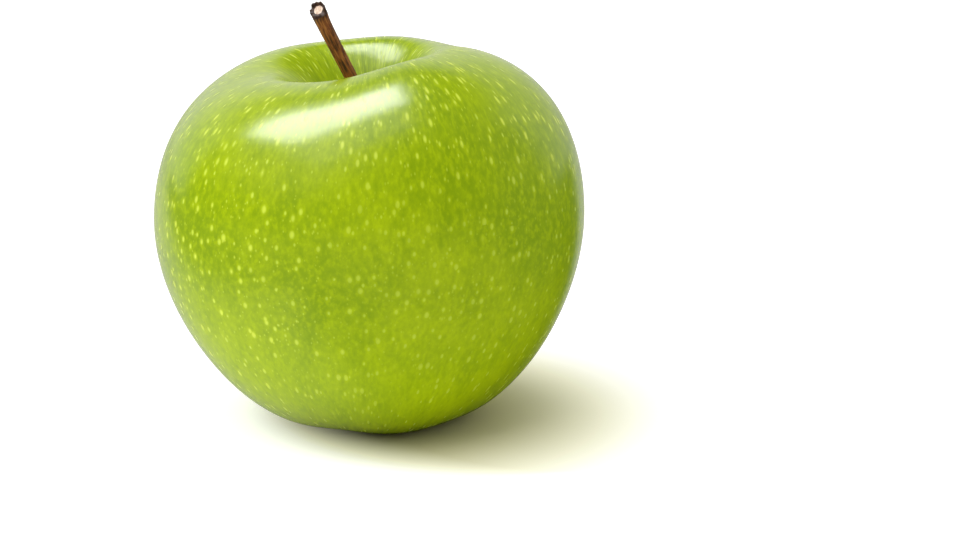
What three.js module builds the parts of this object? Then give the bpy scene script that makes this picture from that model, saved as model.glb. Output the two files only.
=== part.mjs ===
// A green apple, as picked: one solid fruit, its woody stem in the hollow at the crown, and the dried
// remains of its flower in the hollow at the base.
// Millimetres, +Z up. The fruit stands on Z = 0, and the origin is the middle of its outline there.
// Azimuth is counted from +X towards +Y.
import * as THREE from "three";

// Fruit, overall
const FRUIT_WIDTH = 78; // across the widest part
const CREST_HEIGHT = 66.5; // base to the rounded crest round the stem hollow, on average
const WIDEST_HEIGHT = 37.2; // base to the widest part
const CREST_RADIUS = 16.5; // core line to the crest
const STEM_HOLLOW_DEPTH = 14; // crest down to the seat of the stem
const FOOT_RADIUS = 11.8; // core line to the middle of the ring that the fruit stands on
const FOOT_LAND = 2.4; // width of that ring where it is pressed flat
const BASE_HOLLOW_DEPTH = 7.5; // base up to the seat of the dried flower

// Fullness of the outline: how far each curve runs on in its first direction before it turns,
// as a share of the distance that it covers
const CREST_TO_SHOULDER = 0.12;
const SHOULDER_TO_WIDEST = 0.92;
const WIDEST_TO_CHEEK = 0.48;
const CHEEK_TO_FOOT = 0.42;
const CREST_TO_HOLLOW = 0.45;
const SEAT_TO_HOLLOW = 0.3;
const FOOT_TO_HOLLOW = 0.3;
const SEAT_TO_BASE_HOLLOW = 0.35;

// Unevenness round the fruit, each wave as [number of crests, azimuth of one crest in degrees,
// millimetres from its mean]. The waves of five are the five cells of the core.
const LOBES = 5;
const CREST_HEIGHT_WAVES = [[1, 7, 2.1], [2, -60, 0.9], [LOBES, 0, 0.2]];
const CREST_RADIUS_WAVES = [[1, 173, 2], [LOBES, 0, 0.25]];
const CREST_TO_HOLLOW_WAVES = [[1, 32, 0.12]];
const WIDEST_HEIGHT_WAVES = [[1, 44, 0.5]];
const HALF_WIDTH_WAVES = [[2, 45, 0.3], [LOBES, 0, 0.2]];
const FOOT_RADIUS_WAVES = [[1, 45, 2], [LOBES, 0, 0.2]];
const FOOT_NOTCH = 0.4; // rise of the foot between two lobes
const FOOT_PRESSED = 0.15; // depth to which the end of each lobe is pressed flat

// Stem
const STEM_RISE = 23.4; // its seat to the middle of the broken end
const STEM_REACH = 9.5; // sideways lean of the broken end, towards -X
const STEM_FOOT_DIAMETER = 2.5;
const STEM_NECK_DIAMETER = 1.9;
const STEM_DIAMETER = 2.5; // upper half
const STEM_END_DIAMETER = 3.1; // the knob where it broke off
const STEM_SEAT_MARGIN = 0.7; // flat ground round the foot of the stem

// Dried flower
const SEPALS = 5;
const SEPAL_LENGTH = 4.8;
const SEPAL_WIDTH = 2.6;
const SEPAL_THICKNESS = 0.7;
const SEPAL_SPREAD = 1.9; // how far a tip curls out beyond its foot
const SEPAL_RING_RADIUS = 2.9; // core line to the feet of the sepals
const SEPAL_SEAT_MARGIN = 0.8; // flat ground round the ring of sepals
const TUFT_LENGTH = 3.2;
const FLOWER_TURN = 12; // azimuth of the first sepal in degrees

const FIT_GAP = 0.3; // clearance between two pieces that touch

// Fineness of the facets
const FACETS_AROUND = 60;
const OUTLINE_STEPS = { seat: 1, baseHollow: 7, land: 1, cheek: 15, shoulder: 11, stemHollow: 10 };
const STEM_SIDES = 14;
const STEM_STEPS = 20;
const SEPAL_SIDES = 10;
const SEPAL_STEPS = 8;

const stemSeatHeight = CREST_HEIGHT - STEM_HOLLOW_DEPTH;
const stemSeatRadius = Math.max(STEM_FOOT_DIAMETER, STEM_NECK_DIAMETER) / 2 + STEM_SEAT_MARGIN;
const flowerSeatRadius = SEPAL_RING_RADIUS + SEPAL_THICKNESS / 2 + SEPAL_SEAT_MARGIN;

function mix(from, to, share) {
  return from + (to - from) * share;
}

function withWaves(mean, waves, azimuth) {
  const swell = ([crests, at, amount]) =>
    amount * Math.cos(crests * (azimuth - THREE.MathUtils.degToRad(at)));
  return waves.reduce((sum, wave) => sum + swell(wave), mean);
}

// Points along one stretch of an outline, without its first one.
function stretch(curve, steps) {
  return curve.getSpacedPoints(steps).slice(1);
}

function point(radius, height) {
  return new THREE.Vector2(radius, height);
}

// The outline of the fruit at one azimuth, from the core line at the base round to the core line at
// the crown, as points of radius and height.
function fruitOutline(azimuth) {
  const lobe = (1 + Math.cos(LOBES * azimuth)) / 2;
  const footHeight = FOOT_NOTCH * (1 - lobe) - FOOT_PRESSED;
  const footRadius = withWaves(FOOT_RADIUS, FOOT_RADIUS_WAVES, azimuth);
  const halfWidth = withWaves(FRUIT_WIDTH / 2, HALF_WIDTH_WAVES, azimuth);
  const widestHeight = withWaves(WIDEST_HEIGHT, WIDEST_HEIGHT_WAVES, azimuth);
  const crestRadius = withWaves(CREST_RADIUS, CREST_RADIUS_WAVES, azimuth);
  const crestHeight = withWaves(CREST_HEIGHT, CREST_HEIGHT_WAVES, azimuth);
  const crestToHollow = withWaves(CREST_TO_HOLLOW, CREST_TO_HOLLOW_WAVES, azimuth);

  const core = point(0, BASE_HOLLOW_DEPTH);
  const flowerSeat = point(flowerSeatRadius, BASE_HOLLOW_DEPTH);
  const innerFoot = point(footRadius - FOOT_LAND / 2, footHeight);
  const outerFoot = point(footRadius + FOOT_LAND / 2, footHeight);
  const widest = point(halfWidth, widestHeight);
  const crest = point(crestRadius, crestHeight);
  const stemSeat = point(stemSeatRadius, stemSeatHeight);

  const seat = new THREE.LineCurve(core, flowerSeat);
  const baseHollow = new THREE.CubicBezierCurve(
    flowerSeat,
    point(mix(flowerSeat.x, innerFoot.x, SEAT_TO_BASE_HOLLOW), flowerSeat.y),
    point(mix(innerFoot.x, flowerSeat.x, FOOT_TO_HOLLOW), footHeight),
    innerFoot,
  );
  const land = new THREE.LineCurve(innerFoot, outerFoot);
  const cheek = new THREE.CubicBezierCurve(
    outerFoot,
    point(mix(outerFoot.x, widest.x, CHEEK_TO_FOOT), footHeight),
    point(widest.x, mix(widest.y, footHeight, WIDEST_TO_CHEEK)),
    widest,
  );
  const shoulder = new THREE.CubicBezierCurve(
    widest,
    point(widest.x, mix(widest.y, crest.y, SHOULDER_TO_WIDEST)),
    point(mix(crest.x, widest.x, CREST_TO_SHOULDER), crest.y),
    crest,
  );
  const stemHollow = new THREE.CubicBezierCurve(
    crest,
    point(mix(crest.x, stemSeat.x, crestToHollow), crest.y),
    point(mix(stemSeat.x, crest.x, SEAT_TO_HOLLOW), stemSeat.y),
    stemSeat,
  );
  return [
    core,
    ...stretch(seat, OUTLINE_STEPS.seat),
    ...stretch(baseHollow, OUTLINE_STEPS.baseHollow),
    ...stretch(land, OUTLINE_STEPS.land),
    ...stretch(cheek, OUTLINE_STEPS.cheek),
    ...stretch(shoulder, OUTLINE_STEPS.shoulder),
    ...stretch(stemHollow, OUTLINE_STEPS.stemHollow),
    point(0, stemSeatHeight),
  ];
}

// The fruit is turned like a vase, and then each of its meridians takes the outline of its own
// azimuth. What would reach below the ground is pressed flat on it.
function fruitGeometry() {
  const geometry = new THREE.LatheGeometry(fruitOutline(0), FACETS_AROUND);
  const vertices = geometry.getAttribute("position");
  for (let meridian = 0; meridian <= FACETS_AROUND; meridian++) {
    const azimuth = ((meridian % FACETS_AROUND) / FACETS_AROUND) * 2 * Math.PI;
    fruitOutline(azimuth).forEach(({ x: radius, y: height }, step, outline) => {
      vertices.setXYZ(
        meridian * outline.length + step,
        radius * Math.cos(azimuth),
        radius * Math.sin(azimuth),
        Math.max(height, 0),
      );
    });
  }
  geometry.computeVertexNormals();
  return geometry;
}

// Bends a turned piece, whose own axis is Y from 0 to 1, along a curve that lies near the XZ plane.
function bendAlong(geometry, curve) {
  const vertices = geometry.getAttribute("position");
  const across = new THREE.Vector3(0, 1, 0);
  const place = new THREE.Vector3();
  for (let i = 0; i < vertices.count; i++) {
    const share = THREE.MathUtils.clamp(vertices.getY(i), 0, 1);
    const side = new THREE.Vector3().crossVectors(curve.getTangentAt(share), across).normalize();
    place
      .copy(curve.getPointAt(share))
      .addScaledVector(side, vertices.getX(i))
      .addScaledVector(across, vertices.getZ(i));
    vertices.setXYZ(i, place.x, place.y, place.z);
  }
  geometry.computeVertexNormals();
  return geometry;
}

// A turned piece whose radius changes smoothly along its length, from [share of length, radius]
// pairs. Both ends are closed on the axis.
function turnedPiece(radii, steps, sides) {
  const line = new THREE.SplineCurve(radii.map(([share, radius]) => point(radius, share)));
  const side = Array.from({ length: steps + 1 }, (_, step) => {
    const at = line.getPoint(step / steps);
    return point(Math.max(at.x, 0), THREE.MathUtils.clamp(at.y, 0, 1));
  });
  const closed = [point(0, 0), ...side.filter((at) => at.x > 0), point(0, 1)];
  return new THREE.LatheGeometry(closed, sides);
}

// The stem leaves its seat upright, leans over as it rises, and thickens from its neck to the knob
// where it broke off.
function stemGeometry() {
  const foot = stemSeatHeight + FIT_GAP;
  const top = stemSeatHeight + STEM_RISE;
  const lean = (share, height) => new THREE.Vector3(-STEM_REACH * share, 0, height);
  const line = new THREE.CubicBezierCurve3(
    lean(0, foot),
    lean(0, mix(foot, top, 0.26)),
    lean(0.66, mix(foot, top, 0.62)),
    lean(1, top),
  );
  const radii = [
    [0, STEM_FOOT_DIAMETER / 2],
    [0.15, mix(STEM_FOOT_DIAMETER, STEM_NECK_DIAMETER, 0.6) / 2],
    [0.38, STEM_NECK_DIAMETER / 2],
    [0.62, STEM_DIAMETER / 2],
    [0.84, STEM_DIAMETER / 2],
    [0.97, STEM_END_DIAMETER / 2],
    [1, mix(STEM_DIAMETER, STEM_END_DIAMETER, 0.5) / 2],
  ];
  return bendAlong(turnedPiece(radii, STEM_STEPS, STEM_SIDES), line);
}

// One sepal on the +X side: a narrow leaf that hangs from its seat and curls outwards at its tip.
function sepalGeometry() {
  const seat = BASE_HOLLOW_DEPTH - FIT_GAP;
  const out = (share, drop) =>
    new THREE.Vector3(SEPAL_RING_RADIUS + SEPAL_SPREAD * share, 0, seat - SEPAL_LENGTH * drop);
  const line = new THREE.CubicBezierCurve3(out(0, 0), out(0, 0.5), out(0.2, 0.9), out(1, 1));
  const halfWidth = SEPAL_WIDTH / 2;
  const radii = [
    [0, halfWidth * 0.8],
    [0.3, halfWidth],
    [0.65, halfWidth * 0.65],
    [1, halfWidth * 0.15],
  ];
  const leaf = turnedPiece(radii, SEPAL_STEPS, SEPAL_SIDES);
  leaf.scale(SEPAL_THICKNESS / SEPAL_WIDTH, 1, 1);
  return bendAlong(leaf, line);
}

// The withered stamens, as one blunt tuft that hangs inside the ring of sepals.
function tuftGeometry() {
  const seat = BASE_HOLLOW_DEPTH - FIT_GAP;
  const radius = SEPAL_RING_RADIUS - SEPAL_THICKNESS / 2 - FIT_GAP;
  const line = new THREE.LineCurve3(
    new THREE.Vector3(0, 0, seat),
    new THREE.Vector3(0, 0, seat - TUFT_LENGTH),
  );
  const radii = [
    [0, radius * 0.9],
    [0.35, radius],
    [0.75, radius * 0.7],
    [1, radius * 0.25],
  ];
  return bendAlong(turnedPiece(radii, SEPAL_STEPS, STEM_SIDES), line);
}

function piece(name, geometry, color, roughness) {
  const material = new THREE.MeshStandardMaterial({ color, roughness, metalness: 0 });
  const mesh = new THREE.Mesh(geometry, material);
  mesh.name = name;
  return mesh;
}

function driedFlower() {
  const flower = new THREE.Group();
  for (let number = 0; number < SEPALS; number++) {
    const sepal = piece(`sepal_${number + 1}`, sepalGeometry(), 0x6b5a32, 0.85);
    sepal.rotation.z = THREE.MathUtils.degToRad(FLOWER_TURN) + (number / SEPALS) * 2 * Math.PI;
    flower.add(sepal);
  }
  flower.add(piece("stamen_tuft", tuftGeometry(), 0x3d2b1a, 0.9));
  return flower;
}

const apple = new THREE.Group();
apple.add(
  piece("fruit", fruitGeometry(), 0x94b916, 0.32),
  piece("stem", stemGeometry(), 0x6b431a, 0.75),
  driedFlower(),
);

// The origin goes to the middle of the outline, at the level that the fruit stands on.
const box = new THREE.Box3().setFromObject(apple);
const middle = box.getCenter(new THREE.Vector3());
apple.position.set(-middle.x, -middle.y, -box.min.z);

export default apple;
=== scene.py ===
# %% [markdown]
# # A green apple
# This lesson dresses a plain, correctly sized apple until it looks picked this morning.
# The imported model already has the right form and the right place, so nothing here changes a size.
# It adds what makes an apple look alive: waxy skin with pale pores, a barky stem that was snapped
# off the branch, and the withered flower in the hollow underneath.
# Everything is in metres, and the apple stands on the plane Z = 0.

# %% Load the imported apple
import math
import random

import bmesh
import bpy
from mathutils import Euler, Matrix, Vector, noise


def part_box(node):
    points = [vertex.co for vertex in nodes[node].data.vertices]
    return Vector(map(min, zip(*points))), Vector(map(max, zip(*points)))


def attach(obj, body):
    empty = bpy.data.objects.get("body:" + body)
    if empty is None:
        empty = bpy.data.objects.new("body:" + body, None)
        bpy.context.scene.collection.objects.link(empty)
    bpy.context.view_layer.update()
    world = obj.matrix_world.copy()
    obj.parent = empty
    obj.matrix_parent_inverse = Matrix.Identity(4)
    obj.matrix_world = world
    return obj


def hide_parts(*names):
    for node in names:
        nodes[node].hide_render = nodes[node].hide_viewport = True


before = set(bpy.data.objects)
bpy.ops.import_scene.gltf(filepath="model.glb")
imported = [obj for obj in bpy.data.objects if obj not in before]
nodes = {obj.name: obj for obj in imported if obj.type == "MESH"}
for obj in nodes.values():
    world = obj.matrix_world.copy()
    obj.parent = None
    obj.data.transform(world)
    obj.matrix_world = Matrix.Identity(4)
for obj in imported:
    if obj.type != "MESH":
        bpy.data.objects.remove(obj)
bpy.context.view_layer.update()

MM = 0.001
BODY = "root"
print("pieces in the packed model:", ", ".join(sorted(nodes)))

# %% [markdown]
# ## The camera
# A long lens, far away, keeps the fruit from bulging towards the viewer. It looks down a little,
# so that the stem hollow opens as a narrow ellipse. The fruit sits left of the middle, and that is
# done by aiming the camera past it: shifting the lens would also shift every other view.

# %% Camera
LENS = 100  # on a sensor 36 mm wide
CAMERA_ELEVATION = math.radians(13.48)
CAMERA_DISTANCE = 0.4848
LOOK_AT = Vector((0, 0, 35 * MM))
PAN = math.radians(2.356)  # turned right of LOOK_AT
TILT = math.radians(0.915)  # and below it

camera = bpy.data.objects.new("camera", bpy.data.cameras.new("camera"))
camera.data.lens = LENS
camera.data.sensor_width = 36
camera.data.clip_start = 0.01
back = Vector((0, -math.cos(CAMERA_ELEVATION), math.sin(CAMERA_ELEVATION)))
level_gaze = Euler((math.pi / 2 - CAMERA_ELEVATION, 0, 0)).to_matrix().to_4x4()
aim = Euler((-TILT, -PAN, 0)).to_matrix().to_4x4()
camera.matrix_world = Matrix.Translation(LOOK_AT + back * CAMERA_DISTANCE) @ level_gaze @ aim
bpy.context.scene.collection.objects.link(camera)
bpy.context.scene.camera = camera
bpy.context.scene.view_settings.view_transform = "Standard"
print("camera at", [round(part, 3) for part in camera.matrix_world.translation])

# %% [markdown]
# ## Shader maths as plain expressions
# Skin, bark and dried leaf are all made of patterns that are scaled, bent and laid over each other.
# Wiring Math nodes by hand hides that arithmetic. This small class wraps one socket, so that
# `1 - mask * 0.5` builds the nodes itself. Numbers only are worked out in Python. Colours and
# vectors never go through a Math node, which would turn them grey: they use Mix and Vector Math.


# %% The wrapped socket
class Wire:
    """One output socket of a node tree, with arithmetic."""

    def __init__(self, tree, socket=None):
        self.tree = tree
        self.socket = socket

    def node(self, kind, settings=None, inputs=None, out=0):
        """Adds a node: first its settings, then the values or links of its sockets."""
        made = self.tree.nodes.new(kind)
        for name, value in (settings or {}).items():
            setattr(made, name, value)
        for name, value in (inputs or {}).items():
            if isinstance(value, Wire):
                self.tree.links.new(value.socket, made.inputs[name])
            else:
                made.inputs[name].default_value = value
        return Wire(self.tree, made.outputs[out])

    def maths(self, operation, *values):
        return self.node("ShaderNodeMath", {"operation": operation}, dict(enumerate(values)))

    def __add__(self, other):
        return self.maths("ADD", self, other)

    def __sub__(self, other):
        return self.maths("SUBTRACT", self, other)

    def __rsub__(self, other):
        return self.maths("SUBTRACT", other, self)

    def __mul__(self, other):
        return self.maths("MULTIPLY", self, other)

    def __truediv__(self, other):
        return self.maths("DIVIDE", self, other)

    def __rtruediv__(self, other):
        return self.maths("DIVIDE", other, self)

    def __pow__(self, other):
        return self.maths("POWER", self, other)

    def __rpow__(self, other):
        return self.maths("POWER", other, self)

    __radd__ = __add__
    __rmul__ = __mul__

    def rises(self, start, end):
        """0 below start, 1 above end and smooth between them. With start above end it falls."""
        return self.node(
            "ShaderNodeMapRange",
            {"interpolation_type": "SMOOTHSTEP"},
            {"Value": self, "From Min": start, "From Max": end},
        )

    def parts(self):
        """The three numbers of a vector."""
        split = self.node("ShaderNodeSeparateXYZ", inputs={"Vector": self}).socket.node
        return [Wire(self.tree, part) for part in split.outputs]

    def mixed(self, mask, low, high):
        """One colour where the mask is 0, the other where it is 1. Each is a colour or a wire."""
        return self.node("ShaderNodeMix", {"data_type": "RGBA"}, {0: mask, 6: low, 7: high}, out=2)


def join(x, y, z):
    """Three numbers as one vector."""
    return x.node("ShaderNodeCombineXYZ", inputs={"X": x, "Y": y, "Z": z})


def linear(red, green, blue):
    """A colour as a painter mixes it, 0 to 255, turned into the light that shaders work with."""
    shares = (part / 255 for part in (red, green, blue))
    curve = [part / 12.92 if part <= 0.0404 else ((part + 0.055) / 1.055) ** 2.4 for part in shares]
    return (*curve, 1.0)


def new_material(name):
    """A material with its Principled shader, and the wire from which its patterns start."""
    material = bpy.data.materials.new(name)
    material.use_nodes = True
    shader = material.node_tree.nodes["Principled BSDF"]
    return material, shader, Wire(material.node_tree)


def plug(tree, shader, sockets):
    """Links wires to the sockets of a shader, and sets plain values on the others."""
    for name, value in sockets.items():
        if isinstance(value, Wire):
            tree.links.new(value.socket, shader.inputs[name])
        else:
            shader.inputs[name].default_value = value


# %% [markdown]
# ## Table and backdrop
# Fruit is often shown on a white sweep, where the table runs on into the backdrop. A single large
# plane does it. Paper that is only lit turns grey for a long way round the fruit. So this paper
# glows a little, except in a round patch by the foot, where its colour is darker and warmer: much
# of the shade is painted, and the lights add the rest. What the skin mirrors of the table, and what
# the table throws back on it, are set apart from what the viewer sees of it, because a shiny skin
# shows every bright patch around it.

# %% Floor
FLOOR_HALF = 4.0

sheet = bmesh.new()
bmesh.ops.create_grid(sheet, x_segments=1, y_segments=1, size=FLOOR_HALF)
floor = bpy.data.objects.new("floor", bpy.data.meshes.new("floor"))
sheet.to_mesh(floor.data)
sheet.free()
bpy.context.scene.collection.objects.link(floor)

SHADE_CENTRE = (0.023, 0.005)  # the shade lies right of the foot, away from the soft box
SHADE_EDGE = (0.028, 0.049)  # m from that centre, from fully shaded to open
FOOT_EDGE = (0.02, 0.06)  # m from the middle of the foot
FOOT_SHARE = 0.85
PAPER_WHITE = (0.74, 0.74, 0.72, 1)
PAPER_SHADED = (0.64, 0.59, 0.38, 1)  # as if warmed by light that came through the skin
PAPER_GLOW = (0.62, 0.62, 0.61, 1)
PAPER_GLOW_SHADED = (0.62, 0.61, 0.46, 1)
GLOW_COLOUR_EDGE = (0.4, 0.95)  # share of the way from shaded to open
BLACK = (0, 0, 0, 1)

paper, shader, start = new_material("white_paper")
on_table = start.node("ShaderNodeTexCoord", out="Object")
table_x, table_y = on_table.parts()[:2]
across, behind_it = table_x - SHADE_CENTRE[0], table_y - SHADE_CENTRE[1]
from_shade = (across * across + behind_it * behind_it) ** 0.5
from_foot = (table_x * table_x + table_y * table_y) ** 0.5
near_edge, far_edge = from_shade.rises(*SHADE_EDGE), from_foot.rises(*FOOT_EDGE) * FOOT_SHARE
open_sheet = near_edge.maths("MAXIMUM", near_edge, far_edge)
sheet_colour = start.mixed(open_sheet, PAPER_SHADED, PAPER_WHITE)
glow_colour = start.mixed(open_sheet.rises(*GLOW_COLOUR_EDGE), PAPER_GLOW_SHADED, PAPER_GLOW)
paper_glow = start.mixed(open_sheet, BLACK, glow_colour)
print("shade about", round(sum(SHADE_EDGE) / MM), "mm across")

# %% What the fruit gets from the table
PAPER_BOUNCE = (0.62, 0.62, 0.46, 1)  # light that the open paper gives back to the fruit
BOUNCE_EDGE = (0.014, 0.046)
LEFT_EDGE = (0.06, -0.06)
RIGHT_SHARE = 0.3  # the right of the table gives back less
MIRROR_EDGE = (-0.045, -0.005)
MIRROR_SHARE = 0.42
FAR_LEFT_EDGE = (0.08, 0.16)
FAR_LEFT_DIMMED = 0.9

on_left = table_x.rises(*LEFT_EDGE) * (1 - RIGHT_SHARE) + RIGHT_SHARE
paper_bounce = start.mixed(from_foot.rises(*BOUNCE_EDGE) * on_left, BLACK, PAPER_BOUNCE)
on_fruit = start.node("ShaderNodeLightPath", out="Is Diffuse Ray")
far_left = (table_x * -1 - table_y * 0.8).rises(*FAR_LEFT_EDGE) * FAR_LEFT_DIMMED
mirrored_table = (table_y - table_x * 1.2).rises(*MIRROR_EDGE) * (1 - far_left) * MIRROR_SHARE
in_mirror = start.node("ShaderNodeLightPath", out="Is Glossy Ray")
shown = 1 - in_mirror * (1 - mirrored_table)
paper_finish = {
    "Base Color": start.mixed(shown, BLACK, sheet_colour),
    "Roughness": 0.9,
    "Specular IOR Level": 0,
    "Emission Color": start.mixed(shown, BLACK, start.mixed(on_fruit, paper_glow, paper_bounce)),
    "Emission Strength": 1,
}
plug(paper.node_tree, shader, paper_finish)
floor.data.materials.append(paper)
print("floor", 2 * FLOOR_HALF, "m wide")

# %% [markdown]
# ## Light
# The skin is glossy, so the lights are seen in it. One long soft box over the left shoulder gives
# the pale slanting gleam. A wider one lights the colours and isn't mirrored, so that the gleam
# keeps its edges while the shading stays soft. A faint one spreads a halo under the gleam. Each
# light's visibility settings give it that one job. The room is mirrored bright behind the fruit
# and dim in front of it, which keeps the green deep in the middle and pale along both edges. The
# light that it throws on the colours, and the white that the viewer sees, are set apart again.

# %% Soft boxes
GLEAM_FROM = Vector((-0.307, 0.153, 0.931))  # direction from the fruit
GLEAM_SIZE = (0.79, 0.47)
GLEAM_WATTS = 15
TOP_FROM = Vector((-0.42, -0.2, 0.87))
TOP_SIZE = (1.7, 1.3)
TOP_WATTS = 13.5
HALO_FROM = Vector((-0.2, -0.3, 0.93))
HALO_SIZE = (0.9, 0.45)
HALO_WATTS = 1.7
LONG_SIDE = Vector((0.67, 0.33, 0.14))  # the long side of every box runs this way
LIGHT_DISTANCE = 1.0


def soft_box(name, towards, size, watts):
    """A rectangular light that faces the fruit from a direction."""
    light = bpy.data.lights.new(name, "AREA")
    light.shape = "RECTANGLE"
    light.size, light.size_y = size
    light.energy = watts
    aim_back = towards.normalized()
    short_side = aim_back.cross(LONG_SIDE).normalized()
    turn = Matrix((short_side.cross(aim_back), short_side, aim_back)).transposed().to_4x4()
    box = bpy.data.objects.new(name, light)
    box.matrix_world = Matrix.Translation(LOOK_AT + aim_back * LIGHT_DISTANCE) @ turn
    bpy.context.scene.collection.objects.link(box)
    return box


soft_box("gleam_light", GLEAM_FROM, GLEAM_SIZE, GLEAM_WATTS).visible_diffuse = False
soft_box("top_light", TOP_FROM, TOP_SIZE, TOP_WATTS).visible_glossy = False
soft_box("halo_light", HALO_FROM, HALO_SIZE, HALO_WATTS).visible_diffuse = False
print("soft boxes:", GLEAM_WATTS, "W in the gleam and", TOP_WATTS, "W on the colours")

# %% Room
FILL = 0.42  # light from all round
FILL_TO_LEFT = 0.25
FILL_BEHIND_RIGHT = 1.5
MIRRORED_BACKDROP = 0.78
MIRRORED_ROOM = 0.01
RIGHT_DIMMED = 0.3

room = bpy.data.worlds.new("room")
room.use_nodes = True
room.cycles.sampling_method = "NONE"
bpy.context.scene.world = room
air = Wire(room.node_tree)
to_side, to_back, to_top = air.node("ShaderNodeTexCoord", out="Generated").parts()
behind = (to_back + to_top * 0.25).rises(0.35, 0.55) * to_top.rises(0.72, 0.5)
right_side = to_side.rises(0.0, 0.5) * RIGHT_DIMMED
mirrored = behind * (1 - right_side) * MIRRORED_BACKDROP + MIRRORED_ROOM
behind_right = to_side.rises(0.2, 0.9) * to_back.rises(-0.5, 0.4) * FILL_BEHIND_RIGHT
fill = (1 - to_side * FILL_TO_LEFT) * FILL + behind_right
camera_ray = air.node("ShaderNodeLightPath", out="Is Camera Ray")
glossy_ray = air.node("ShaderNodeLightPath", out="Is Glossy Ray")
glow = camera_ray + glossy_ray * mirrored + (1 - camera_ray) * (1 - glossy_ray) * fill
background = room.node_tree.nodes["Background"]
plug(room.node_tree, background, {"Color": (1, 1, 1, 1), "Strength": glow})
print("room light", FILL, "and mirrored backdrop", MIRRORED_BACKDROP)

# %% [markdown]
# ## The fruit
# A real apple is smooth at arm's length but never quite even: the flesh swelled over the five cells
# of its core, and each part of the skin grew at its own pace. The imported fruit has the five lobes.
# A merged copy of its mesh is the cage. Its corners are moved in and out by about a tenth of a
# millimetre to spoil the perfection, and a Subdivision Surface modifier rounds it.

# %% Fruit body
UNEVEN = 0.12 * MM
UNEVEN_ACROSS = 15 * MM
SEAT_RADIUS = 6 * MM  # within it, the ground of both hollows stays as packed
FOOT_HEIGHT = 3 * MM  # and below it, the foot
SAME_PLACE = 0.002 * MM


def merged_copy(node):
    """The mesh of a CAD node with its loose triangles joined, as a bmesh to work on."""
    shape = bmesh.new()
    shape.from_mesh(nodes[node].data)
    bmesh.ops.remove_doubles(shape, verts=shape.verts, dist=SAME_PLACE)
    bmesh.ops.join_triangles(
        shape,
        faces=shape.faces,
        angle_face_threshold=math.radians(40),
        angle_shape_threshold=math.radians(60),
    )
    return shape


def finished_piece(shape, name, materials, node):
    """Turns a bmesh into a shown piece that stands for a CAD node and rides with the apple."""
    mesh = bpy.data.meshes.new(name)
    shape.to_mesh(mesh)
    shape.free()
    mesh.shade_smooth()
    for material in materials:
        mesh.materials.append(material)
    piece = bpy.data.objects.new(name, mesh)
    bpy.context.scene.collection.objects.link(piece)
    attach(piece, BODY)
    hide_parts(node)
    return piece


def rounded(piece, levels):
    """Adds a Subdivision Surface that is the same on screen and in a render."""
    rounding = piece.modifiers.new("rounding", "SUBSURF")
    rounding.levels = rounding.render_levels = levels


def ease(value, start, end):
    """0 below start, 1 above end and smooth between them."""
    share = min(max((value - start) / (end - start), 0), 1)
    return share * share * (3 - 2 * share)


fruit_shape = merged_copy("fruit")
fruit_shape.normal_update()
for corner in fruit_shape.verts:
    free = ease(corner.co.xy.length, SEAT_RADIUS, 2 * SEAT_RADIUS)
    free *= ease(corner.co.z, FOOT_HEIGHT, 4 * FOOT_HEIGHT)
    swell = noise.noise(corner.co / UNEVEN_ACROSS) * UNEVEN * free
    corner.co += corner.normal * swell
print("fruit cage:", len(fruit_shape.verts), "corners")

# %% [markdown]
# ## The skin
# Green apple skin is a thin layer of cells under wax. Its colour drifts between a deep green and a
# yellower one. It is dotted with lenticels, the pores through which the fruit breathes. There are
# as many of them when the fruit is small as when it is ripe, so they stay close together where the
# skin grew least, in the hollows, and are pulled long there, towards the stem.
# A pattern that follows the growth is all it needs: the direction round the core, and the distance
# along the outline. Around the core the pattern is as wide at the neck as at the belly, which
# crowds and stretches the pores near the stem with no further help.
# Two things are painted light, set by place: the pores are painted clearer to the left and on the
# shoulders, where the soft boxes light the fruit, and the green is painted lighter low down, where
# the table throws light back.

# %% Skin coordinates
def object_place(start):
    """The place on the whole apple, as a vector in mm."""
    metres = start.node("ShaderNodeTexCoord", out="Object")
    return start.node("ShaderNodeVectorMath", {"operation": "SCALE"}, {0: metres, "Scale": 1 / MM})


BELLY = 39  # mm from the core line to the widest part
SECTION_RADIUS = 20  # mm to the middle of one half of the fruit, seen in section
SECTION_HEIGHT = 35
SECTION_GIRTH = 27  # mm along the outline for each radian round that middle
PORE_STRETCH = 0.52  # under 1, pores are longer than wide

skin, skin_shader, start = new_material("skin")
place = object_place(start)
x, y, z = place.parts()
radius = (x * x + y * y) ** 0.5
safe_radius = radius.maths("MAXIMUM", radius, 0.5)
along = radius.maths("ARCTAN2", z - SECTION_HEIGHT, radius - SECTION_RADIUS) * SECTION_GIRTH
growth = join(x / safe_radius * BELLY, y / safe_radius * BELLY, along * PORE_STRETCH)
print("skin pattern turns round a circle", 2 * SECTION_GIRTH, "mm wide in section")


# %% Pores
def noise_at(where, size, detail=2.0, roughness=0.5):
    """Cloudy noise from 0 to 1, with features about as wide as size."""
    inputs = {"Vector": where, "Scale": 1 / size, "Detail": detail, "Roughness": roughness}
    return where.node("ShaderNodeTexNoise", {"noise_dimensions": "3D"}, inputs, "Fac")


def dots(where, spacing, widest, softness):
    """Round spots of different sizes, and the random number that each of them got."""
    cells = {"Vector": where, "Scale": 1 / spacing, "Randomness": 1.0}
    distance = where.node("ShaderNodeTexVoronoi", {"feature": "F1"}, cells, "Distance")
    twin = Wire(where.tree, distance.socket.node.outputs["Color"])
    chance = twin.parts()[0]
    reach = (chance * 0.6 + 0.4) * (widest / spacing)
    return distance.rises(reach, reach * (1 - softness)), chance


PORE_SPACING = 1.65
PORE_WIDEST = 0.68
SPECK_SPACING = 0.95
SPECK_WIDEST = 0.3
HALO_REACH = 1.7  # times the pore's own

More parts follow.
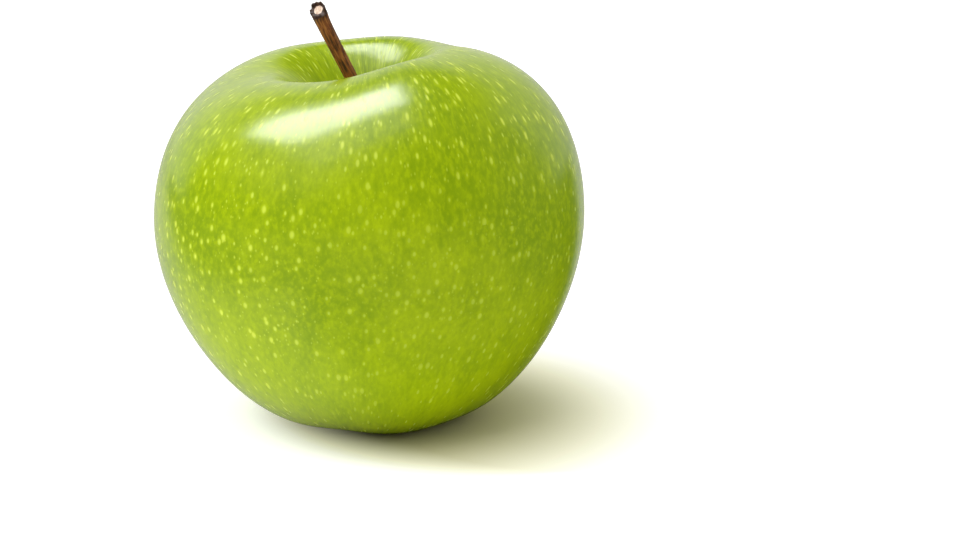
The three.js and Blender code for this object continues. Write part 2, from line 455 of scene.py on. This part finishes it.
pores, pore_chance = dots(growth, PORE_SPACING, PORE_WIDEST, 0.8)
halos = dots(growth, PORE_SPACING, HALO_REACH * PORE_WIDEST, 1.0)[0]
specks = dots(growth, SPECK_SPACING, SPECK_WIDEST, 0.8)[0]
print("pores up to", 2 * PORE_WIDEST, "mm wide")

# %% Skin colour
DEEP_GREEN = linear(134, 161, 0)
YOUNG_GREEN = linear(157, 180, 0)
# Painted bounce light: a lighter green for the low part of the fruit, as if lit from the table.
PAINTED_BOUNCE_GREEN = linear(170, 194, 0)
SHADE_GREEN = linear(116, 146, 0)
LIGHT_GREEN = linear(182, 203, 2)
PORE_PALE = linear(209, 224, 64)
RUSSET = linear(168, 140, 62)
STREAK_STRETCH = 0.12
ENDS_EDGE = (30, 12)  # mm from the core line, from the belly in to the hollows
SEAT_EDGE = (6.5, 2.0)
LEFT_SIDE_EDGE = (2, -22)  # mm along x
TOP_EDGE = (46, 60)  # mm high
PAINTED_BOUNCE_EDGE = (34, 12)

drift = noise_at(place, 30, 1.0).rises(0.3, 0.7)
mottle = noise_at(growth, 5, 3.0, 0.6).rises(0.35, 0.7)
grain = noise_at(growth, 0.9, 3.0, 0.65)
growth_x, growth_y = growth.parts()[:2]
streak_way = join(growth_x, growth_y, along * STREAK_STRETCH)
streaks = noise_at(streak_way, 1.3, 2.0, 0.6).rises(0.45, 0.7)
near_ends = radius.rises(*ENDS_EDGE)
# Painted light: the pores show clearer on the lit left side and on the shoulders, fainter in shade.
lit_left_side = x.rises(*LEFT_SIDE_EDGE)
lit_top_side = z.rises(*TOP_EDGE)
painted_lit_clearness = lit_left_side + lit_top_side - lit_left_side * lit_top_side
# Painted bounce light: 1 low down, falling to 0 towards the middle.
painted_bounce_low = z.rises(*PAINTED_BOUNCE_EDGE)


def laid(colour, over, mask):
    """A plain colour laid over a patterned one where the mask is 1."""
    return over.mixed(mask, over, colour)


colour = start.mixed(drift, DEEP_GREEN, YOUNG_GREEN)
colour = laid(PAINTED_BOUNCE_GREEN, colour, painted_bounce_low * 0.6)
colour = laid(SHADE_GREEN, colour, mottle * 0.4)
colour = laid(LIGHT_GREEN, colour, grain.rises(0.45, 0.7) * 0.45)
colour = laid(SHADE_GREEN, colour, grain.rises(0.5, 0.25) * 0.4)
colour = laid(LIGHT_GREEN, colour, streaks * near_ends * 0.55)
colour = laid(LIGHT_GREEN, colour, halos * 0.45)
# Pale specks and pores, laid on more strongly on the lit side: painted light.
colour = laid(PORE_PALE, colour, specks * (painted_lit_clearness * 0.3 + 0.3))
colour = laid(PORE_PALE, colour, pores * (painted_lit_clearness * 0.5 + 0.38) * (pore_chance * 0.35 + 0.65))
seat_rust = radius.rises(*SEAT_EDGE) * noise_at(streak_way, 0.9, 3.0).rises(0.3, 0.6)
colour = laid(RUSSET, colour, seat_rust * 0.7)

# %% Skin gloss
SKIN_ROUGHNESS = 0.19
COAT = 0.3
COAT_LOST_IN_HOLLOWS = 0.26
DULL_EDGE = (20, 13)  # mm from the core line

skin_height = pores * 0.6 + grain * 0.6 + noise_at(place, 4, 2.0) * 2.0
skin_bump = start.node(
    "ShaderNodeBump", inputs={"Strength": 0.65, "Distance": 0.05 * MM, "Height": skin_height}
)
dull = radius.rises(*DULL_EDGE)  # the skin in the hollows was never rubbed bright
shine = noise_at(growth, 3, 2.0) * 0.1 + SKIN_ROUGHNESS + pores * 0.08
skin_finish = {
    "Base Color": colour,
    "Roughness": shine,
    "Normal": skin_bump,
    "Specular IOR Level": 0.34,
    "Subsurface Weight": 0.1,
    "Subsurface Radius": (1.0, 0.9, 0.1),
    "Subsurface Scale": 1.5 * MM,
    "Coat Weight": COAT - dull * (1 - streaks * 0.5) * COAT_LOST_IN_HOLLOWS,
    "Coat Roughness": 0.18,
}
plug(skin.node_tree, skin_shader, skin_finish)
print("skin nodes:", len(skin.node_tree.nodes))

# %% Fruit piece
fruit = finished_piece(fruit_shape, "apple_flesh_and_skin", [skin], "fruit")
rounded(fruit, 2)
print("fruit:", len(fruit.data.polygons), "faces before rounding")

# %% [markdown]
# ## The stem
# The stem is a twig: bark with ridges along it, a swollen knob at the end where it hung from the
# branch, and pale wood inside, which shows where it was snapped off. A twig is drawn best by
# sweeping: a circle is extruded again and again along a curved line, and every new ring is carried
# to the next station of the line. While the rings are made, each corner also notes where it lies
# on the twig as if that were straight. The bark pattern reads that note, so it follows the bend.

# %% Stem line
STEM_SEAT = 52.5 * MM  # height of the ground that it grows from
STEM_RISE = 23.4 * MM
STEM_LEAN = 9.5 * MM
STEM_SUNK = 0.4 * MM  # into the flesh
FOOT_LAYER = 0.02 * MM
stem_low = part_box("stem")[0]
foot_ring = [v.co for v in nodes["stem"].data.vertices if v.co.z < stem_low.z + FOOT_LAYER]
stem_foot = sum(foot_ring, Vector()) / len(foot_ring)


def curve_point(corners, share):
    """A point of the cubic curve with these four corners, and its direction there."""
    a, b, c, d = corners
    rest = 1 - share
    spot = a * rest**3 + 3 * b * rest**2 * share + 3 * c * rest * share**2 + d * share**3
    heading = (b - a) * rest**2 + 2 * (c - b) * rest * share + (d - c) * share**2
    return spot, heading.normalized()


def stem_corner(lean, rise):
    """A corner of the stem's curve, at a share of its lean and of its rise."""
    foot = stem_foot.z
    top = STEM_SEAT + STEM_RISE
    return Vector((stem_foot.x - STEM_LEAN * lean, stem_foot.y, foot + (top - foot) * rise))


stem_line = [stem_corner(0, 0), stem_corner(0, 0.26), stem_corner(0.66, 0.62), stem_corner(1, 1)]
print("stem rises from", [round(part / MM, 2) for part in stem_foot], "mm")


# %% Sweep
def sweep(stations, sides, shape=None):
    """Extrudes a circle through a list of placed unit circles. Returns the bmesh, its rings and
    the layer that keeps each corner's place on the straightened piece. With a shape given, it adds
    to that one."""
    if shape is None:
        shape = bmesh.new()
        shape.verts.layers.float_vector.new("straight")
    straight = shape.verts.layers.float_vector["straight"]
    ring = bmesh.ops.create_circle(
        shape, cap_ends=True, radius=1, segments=sides, matrix=stations[0]
    )["verts"]
    cap = list({face for corner in ring for face in corner.link_faces})
    rings = [ring]
    length = 0.0
    for index, station in enumerate(stations):
        if index:
            before = stations[index - 1]
            grown = bmesh.ops.extrude_face_region(shape, geom=cap)["geom"]
            if index > 1:  # only the first cap stays, as the closed foot
                bmesh.ops.delete(shape, geom=cap, context="FACES_ONLY")
            cap = [part for part in grown if isinstance(part, bmesh.types.BMFace)]
            ring = [part for part in grown if isinstance(part, bmesh.types.BMVert)]
            bmesh.ops.transform(shape, matrix=station @ before.inverted(), verts=ring)
            length += (station.translation - before.translation).length
            rings.append(ring)
        for corner in ring:
            flat = station.inverted() @ corner.co
            width = station.to_scale().x
            corner[straight] = Vector((flat.x * width, flat.y * width, length)) / MM
    bmesh.ops.recalc_face_normals(shape, faces=shape.faces)
    return shape, rings, straight


def station(spot, heading, half_width):
    """A unit circle set across a line at one spot, and scaled."""
    turn = heading.to_track_quat("Z", "Y").to_matrix().to_4x4()
    return Matrix.Translation(spot) @ turn @ Matrix.Scale(half_width, 4)


def between(pairs, share):
    """The value at a share of the length, eased between pairs of a share and a value."""
    for (low, a), (high, b) in zip(pairs, pairs[1:]):
        if share <= high:
            return a + (b - a) * ease(share, low, high)
    return pairs[-1][1]


# %% Stem rings
STEM_SIDES = 48
STEM_RINGS = 100
STEM_HALF_WIDTHS = [
    (0, 1.42), (0.06, 1.18), (0.3, 1.0), (0.55, 1.18), (0.84, 1.28), (0.96, 1.46), (1, 1.5)
]  # share of the length, mm
BREAK_FACES = Vector((-0.42, -0.72, 0.55)).normalized()
BREAK_STARTS = 0.9  # share of the length from which the rings tilt towards the break
BREAK_BELOW_TIP = 1.1 * MM
WOOD_RINGS = [(1.2, 0.05), (0.86, 0.3), (0.62, 0.16), (0.34, 0.28), (0.05, 0.2)]  # half width, sunk

stem_stations = []
for index in range(STEM_RINGS + 1):
    share = index / STEM_RINGS
    spot, heading = curve_point(stem_line, share)
    tilt = ease(share, BREAK_STARTS, 1)
    spot = spot - heading * (STEM_SUNK if index == 0 else BREAK_BELOW_TIP * tilt)
    heading = heading.lerp(BREAK_FACES, tilt).normalized()
    stem_stations.append(station(spot, heading, between(STEM_HALF_WIDTHS, share) * MM))
rim_spot = stem_stations[-1].translation.copy()
for half_width, sunk in WOOD_RINGS:
    stem_stations.append(station(rim_spot - BREAK_FACES * sunk * MM, BREAK_FACES, half_width * MM))
stem_shape, stem_rings, stem_straight = sweep(stem_stations, STEM_SIDES)
print("stem:", len(stem_shape.verts), "corners before it is carved")

# %% Bark ridges
RIDGE_HEIGHT = 0.1
RIDGE_WIDTH = 0.5
RIDGE_STRETCH = 0.1  # ridges run ten times as far along the stem as across it
KNOT_HEIGHT = 0.1
KNOT_WIDTH = 2.0
KNOT_STRETCH = 0.5

for ring in stem_rings[: STEM_RINGS + 1]:
    for corner in ring:
        spot = Vector(corner[stem_straight])
        ridge = noise.noise(Vector((spot.x, spot.y, spot.z * RIDGE_STRETCH)) / RIDGE_WIDTH)
        knot = noise.noise(Vector((spot.x, spot.y, spot.z * KNOT_STRETCH)) / KNOT_WIDTH)
        outwards = (corner.co - sum((c.co for c in ring), Vector()) / len(ring)).normalized()
        corner.co += outwards * (ridge * RIDGE_HEIGHT + knot * KNOT_HEIGHT) * MM
print("ridges up to", RIDGE_HEIGHT, "mm high")

# %% Broken end
SPLINTER_WIDTH = 0.42 * MM
TORN_HEIGHTS = (0.8, 0.5, 0.22, 0.22, 0.22, 0)  # mm, from the splinters of the rim to the middle
TORN_DEEPEST = -0.3  # share of the height
MIDDLE_CLOSED = 0.2 * MM

for ring, height in zip(stem_rings[STEM_RINGS:], TORN_HEIGHTS):
    for corner in ring:
        torn = noise.noise(corner.co / SPLINTER_WIDTH)
        corner.co += BREAK_FACES * max(torn, TORN_DEEPEST) * height * MM
wood_corners = {corner for ring in stem_rings[STEM_RINGS + 2 :] for corner in ring}
for face in stem_shape.faces:
    face.material_index = int(all(corner in wood_corners for corner in face.verts))
bmesh.ops.remove_doubles(stem_shape, verts=stem_rings[-1], dist=MIDDLE_CLOSED)
print("break:", sum(face.material_index for face in stem_shape.faces), "faces of torn wood")

# %% [markdown]
# ## Bark and broken wood
# The bark is a reddish brown near the fruit and worn to a golden brown higher up, with dark lines
# between its fibres and a dark rim where it was torn. Its pattern is noise drawn out along the
# straightened stem, so that it reads as fibres. Ridges were also carved into the mesh, because
# they are tall enough to show in the outline. The wood inside is pale and rough.

# %% Bark
BARK_DARK = linear(44, 22, 10)
BARK_BROWN = linear(146, 78, 18)
BARK_GOLD = linear(172, 118, 52)
BARK_FOOT = linear(128, 60, 8)
BARK_LENGTH = max(corner[stem_straight].z for corner in stem_rings[STEM_RINGS])
FIBRE_STRETCH = 0.12
GOLD_EDGE = (8, 16)  # mm along the bark
BROWN_FOOT_EDGE = (12, 3)
DARK_RIM_EDGE = (BARK_LENGTH - 2.2, BARK_LENGTH - 0.6)

bark, shader, start = new_material("bark")
straight = start.node("ShaderNodeAttribute", {"attribute_name": "straight"}, out="Vector")
sx, sy, sz = straight.parts()
fibre_way = join(sx, sy, sz * FIBRE_STRETCH)
fibres = noise_at(fibre_way, 0.35, 3.0, 0.65)
patches = noise_at(straight, 1.6, 2.0)
colour = start.mixed(fibres.rises(0.33, 0.6), BARK_DARK, BARK_BROWN)
colour = laid(BARK_GOLD, colour, fibres.rises(0.48, 0.7) * sz.rises(*GOLD_EDGE) * 0.75)
colour = laid(BARK_FOOT, colour, sz.rises(*BROWN_FOOT_EDGE) * 0.5)
colour = laid(BARK_DARK, colour, patches.rises(0.55, 0.75) * 0.5)
colour = laid(BARK_DARK, colour, sz.rises(*DARK_RIM_EDGE) * 0.85)
bark_bump = start.node(
    "ShaderNodeBump", inputs={"Strength": 0.5, "Distance": 0.1 * MM, "Height": fibres}
)
bark_finish = {"Base Color": colour, "Roughness": fibres * 0.25 + 0.45, "Normal": bark_bump}
plug(bark.node_tree, shader, bark_finish)
print("bark", round(BARK_LENGTH, 1), "mm long")

# %% Broken wood and stem piece
WOOD_SHADE = linear(190, 148, 118)
WOOD_PALE = linear(240, 214, 192)

wood, shader, start = new_material("broken_wood")
in_mm = object_place(start)
torn = noise_at(in_mm, 0.35, 3.0, 0.6)
wood_bump = start.node(
    "ShaderNodeBump", inputs={"Strength": 0.4, "Distance": 0.1 * MM, "Height": torn}
)
wood_finish = {
    "Base Color": start.mixed(torn.rises(0.25, 0.6), WOOD_SHADE, WOOD_PALE),
    "Roughness": torn * 0.2 + 0.6,
    "Normal": wood_bump,
}
plug(wood.node_tree, shader, wood_finish)

stem = finished_piece(stem_shape, "stem_twig", [bark, wood], "stem")
print("stem:", len(stem.data.polygons), "faces")

# %% [markdown]
# ## The withered flower
# An apple still carries its blossom at the base: five sepals, dried to thin curled leaves with a
# grey down, round a tuft of stamens. They hang in the hollow underneath, so the fruit doesn't
# stand on them. Each sepal starts as a flat grid, because a grid bends into any leaf: one direction
# runs from root to tip and the other across. Solidify then gives the leaf its thickness.

# %% Sepals
SEPALS = 5
SEPAL_ROWS = 14
SEPAL_COLUMNS = 6
SEPAL_THICKNESS = 0.24  # this and the next ones in mm
SEPAL_HALF_WIDTH = 1.5
SEPAL_ROOT = 0.45  # added to the length, to root it in the flesh
SEPAL_ROOT_RISE = 0.3
SEPAL_ROOT_INWARDS = 0.75
SEPAL_SPREAD = 1.5
SEPAL_CUP = 0.55
SEPAL_CURL = 4.5
SEPAL_CURL_FROM = 0.6  # share of the length
SEPAL_WAVE = 0.56
SEPAL_TWIST = 0.5
SEPAL_SHORTER = (0.0, 0.12, 0.05, 0.18, 0.08)


def leaf_width(share):
    """Half the width of a leaf as a share of its widest: full near the root, pointed at the tip."""
    return (1 - share**2.2) * (0.72 + 0.5 * math.sin(math.pi * min(share * 1.3, 1))) + 0.04


def sepal_leaf(number):
    """A curled leaf in the place of one packed sepal."""
    low, high = (Vector(corner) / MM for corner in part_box(f"sepal_{number}"))
    middle = (low + high) / 2
    outwards = Vector((middle.x, middle.y, 0)).normalized()
    across = Vector((-outwards.y, outwards.x, 0))
    root_reach = middle.xy.length - SEPAL_ROOT_INWARDS
    length = (high.z - low.z + SEPAL_ROOT) * (1 - SEPAL_SHORTER[number - 1])
    twist = SEPAL_TWIST * noise.noise(Vector((0, 0, number * 3.1)))
    leaf = bmesh.new()
    bmesh.ops.create_grid(leaf, x_segments=SEPAL_COLUMNS, y_segments=SEPAL_ROWS, size=1)
    for corner in leaf.verts:
        side, share = corner.co.x, (corner.co.y + 1) / 2
        waver = noise.noise(Vector((side * 0.9, share * 2.5, number * 7.3)))
        curl = SEPAL_CURL * max(share - SEPAL_CURL_FROM, 0) ** 2
        cup = SEPAL_CUP * side * side * (0.5 - share)
        reach = root_reach + SEPAL_SPREAD * share**1.5 + curl + cup + SEPAL_WAVE * waver * share
        slide = SEPAL_HALF_WIDTH * side * leaf_width(share) + twist * share * share
        corner.co = (outwards * reach + across * slide) * MM
        corner.co.z = (high.z + SEPAL_ROOT + SEPAL_ROOT_RISE - length * share) * MM
    bmesh.ops.recalc_face_normals(leaf, faces=leaf.faces)
    bmesh.ops.solidify(leaf, geom=leaf.faces[:], thickness=SEPAL_THICKNESS * MM)
    bmesh.ops.recalc_face_normals(leaf, faces=leaf.faces)
    return leaf


# %% Dried leaf finish
LEAF_DARK = linear(52, 38, 22)
LEAF_BROWN = linear(112, 88, 54)
LEAF_DOWN = linear(176, 164, 134)

dried, shader, start = new_material("dried_flower")
in_mm = object_place(start)
mx, my, mz = in_mm.parts()
veins = noise_at(join(mx, my, mz * 0.2), 0.3, 2.0, 0.6)
down = noise_at(in_mm, 0.16, 2.0, 0.7)
colour = start.mixed(veins.rises(0.3, 0.65), LEAF_DARK, LEAF_BROWN)
colour = laid(LEAF_DOWN, colour, down.rises(0.5, 0.75) * 0.6)
leaf_bump = start.node(
    "ShaderNodeBump", inputs={"Strength": 0.6, "Distance": 0.08 * MM, "Height": veins + down * 0.5}
)
leaf_finish = {
    "Base Color": colour,
    "Roughness": down * 0.2 + 0.7,
    "Normal": leaf_bump,
    "Sheen Weight": 0.4,
    "Sheen Roughness": 0.5,
}
plug(dried.node_tree, shader, leaf_finish)

# %% Sepal pieces
for number in range(1, SEPALS + 1):
    leaf, name = sepal_leaf(number), f"sepal_leaf_{number}"
    piece = finished_piece(leaf, name, [dried], f"sepal_{number}")
    rounded(piece, 1)
print("sepals:", SEPALS, "leaves of", len(piece.data.polygons), "faces each")

# %% [markdown]
# ## The stamens
# Sixteen dry threads are left of the stamens, each with the shrunken bead of its anther. They
# are swept like the stem, each along its own short bent line, and kept in one mesh because they are
# far too fine to handle one by one. A fixed seed makes the same tuft every time.

# %% Stamen threads
THREADS = 16
THREAD_SIDES = 6
THREAD_HALF_WIDTHS = [(0, 0.13), (0.2, 0.09), (0.74, 0.08), (0.84, 0.2), (0.95, 0.19), (1, 0.05)]
THREAD_STATIONS = 12
THREAD_ROOT = 0.7  # mm that the roots start above the tuft's place, in the flesh
THREAD_SEED = 5

tuft_low, tuft_high = (Vector(corner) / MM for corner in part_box("stamen_tuft"))
tuft_middle = (tuft_low + tuft_high) / 2
tuft_shape = None
draw = random.Random(THREAD_SEED)
for number in range(THREADS):
    turn = math.tau * (number + draw.uniform(-0.3, 0.3)) / THREADS
    outwards = Vector((math.cos(turn), math.sin(turn), 0))
    aside = Vector((-outwards.y, outwards.x, 0))
    root = Vector((tuft_middle.x, tuft_middle.y, tuft_high.z + THREAD_ROOT))
    root += outwards * draw.uniform(0.6, 1.3)
    end = Vector((tuft_middle.x, tuft_middle.y, tuft_low.z + draw.uniform(0.05, 1.2)))
    end += outwards * draw.uniform(0.7, 1.9) + aside * draw.uniform(-0.7, 0.7)
    middle = (root + end) / 2
    middle += outwards * draw.uniform(-0.3, 0.5) + aside * draw.uniform(-0.5, 0.5)
    thread_line = [root, root.lerp(middle, 0.6), middle.lerp(end, 0.3), end]
    thread_stations = []
    for index in range(THREAD_STATIONS + 1):
        share = index / THREAD_STATIONS
        spot, heading = curve_point(thread_line, share)
        half_width = between(THREAD_HALF_WIDTHS, share)
        thread_stations.append(station(spot * MM, heading, half_width * MM))
    tuft_shape = sweep(thread_stations, THREAD_SIDES, tuft_shape)[0]
tuft = finished_piece(tuft_shape, "stamen_threads", [dried], "stamen_tuft")
print("stamens:", THREADS, "threads,", len(tuft.data.polygons), "faces")
